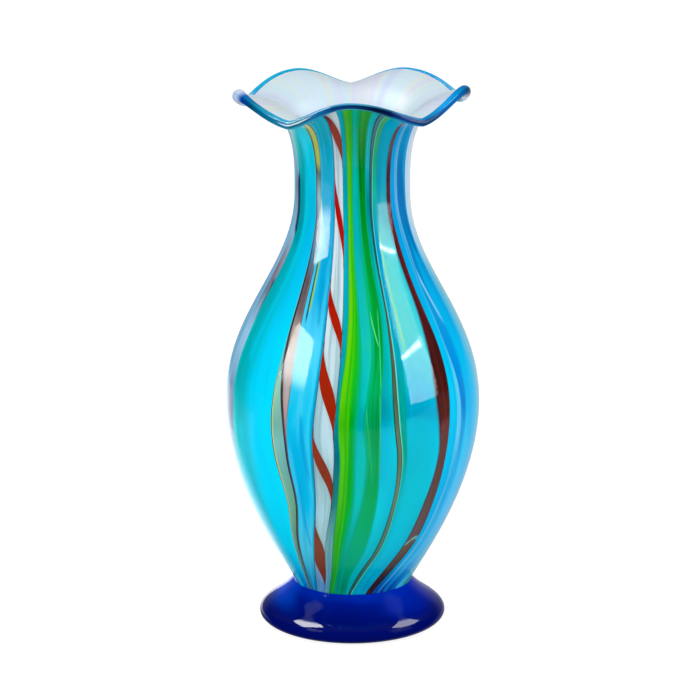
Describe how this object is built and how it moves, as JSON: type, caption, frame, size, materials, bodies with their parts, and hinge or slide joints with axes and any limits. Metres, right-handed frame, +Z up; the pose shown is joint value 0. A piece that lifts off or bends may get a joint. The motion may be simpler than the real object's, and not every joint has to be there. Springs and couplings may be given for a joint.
{
  "type": "hand blown art glass vase",
  "caption": "Tall blown glass vase with a swelling body, narrow neck, ruffled flared lip, round foot and coloured canes that swirl at the base.",
  "frame": {"origin": "centre of the foot's rest face, on the surface that the vase stands on", "axes": "+Z up along the vase's axis; -Y is the front, where the white cane and the lime cane are"},
  "size_m": [0.153, 0.153, 0.3329],
  "materials": {
    "cobalt_glass": "deep cobalt glass, fire polished, nearly opaque",
    "opal_glass": "white opal glass with a pale lilac cast, glossy",
    "azure_glass": "azure coloured glass drawn out in streaks, under clear glass",
    "slate_glass": "slate coloured glass drawn out in streaks, under clear glass",
    "teal_glass": "teal coloured glass drawn out in streaks, under clear glass",
    "cyan_glass": "cyan coloured glass drawn out in streaks, under clear glass",
    "mint_glass": "mint coloured glass drawn out in streaks, under clear glass",
    "charcoal_glass": "charcoal coloured glass drawn out in streaks, under clear glass",
    "copper_glass": "copper coloured glass drawn out in streaks, under clear glass",
    "white_glass": "white coloured glass drawn out in streaks, under clear glass",
    "petrol_glass": "petrol coloured glass drawn out in streaks, under clear glass",
    "lime_glass": "lime coloured glass drawn out in streaks, under clear glass",
    "green_glass": "green coloured glass drawn out in streaks, under clear glass",
    "olive_glass": "olive coloured glass drawn out in streaks, under clear glass",
    "aqua_glass": "aqua coloured glass drawn out in streaks, under clear glass",
    "maroon_glass": "maroon coloured glass drawn out in streaks, under clear glass",
    "lilac_glass": "lilac coloured glass drawn out in streaks, under clear glass",
    "blue_glass": "blue coloured glass drawn out in streaks, under clear glass",
    "red_glass": "opaque red glass ribbon with dark edges",
    "clear_glass": "clear glass, fire polished, high gloss",
    "blue_trail_glass": "transparent blue glass, glossy"
  },
  "bodies": {
    "root": {"foot": "cobalt_glass", "opal_lining": "opal_glass", "azure_cane_1": "azure_glass", "slate_cane_1": "slate_glass", "teal_cane_1": "teal_glass", "cyan_cane_1": "cyan_glass", "mint_cane_1": "mint_glass", "charcoal_cane_1": "charcoal_glass", "copper_cane_1": "copper_glass", "azure_cane_2": "azure_glass", "white_cane_1": "white_glass", "petrol_cane_1": "petrol_glass", "lime_cane_1": "lime_glass", "green_cane_1": "green_glass", "teal_cane_2": "teal_glass", "green_cane_2": "green_glass", "azure_cane_3": "azure_glass", "olive_cane_1": "olive_glass", "green_cane_3": "green_glass", "aqua_cane_1": "aqua_glass", "maroon_cane_1": "maroon_glass", "cyan_cane_2": "cyan_glass", "lilac_cane_1": "lilac_glass", "blue_cane_1": "blue_glass", "azure_cane_4": "azure_glass", "teal_cane_3": "teal_glass", "green_cane_4": "green_glass", "aqua_cane_2": "aqua_glass", "copper_cane_2": "copper_glass", "cyan_cane_3": "cyan_glass", "white_cane_2": "white_glass", "blue_cane_2": "blue_glass", "lime_cane_2": "lime_glass", "teal_cane_4": "teal_glass", "maroon_cane_2": "maroon_glass", "azure_cane_5": "azure_glass", "mint_cane_2": "mint_glass", "green_cane_5": "green_glass", "lilac_cane_2": "lilac_glass", "aqua_cane_3": "aqua_glass", "olive_cane_2": "olive_glass", "cyan_cane_4": "cyan_glass", "blue_cane_3": "blue_glass", "red_ribbons": "red_glass", "clear_casing": "clear_glass", "lip_trail": "blue_trail_glass"}
  },
  "joints": []
}
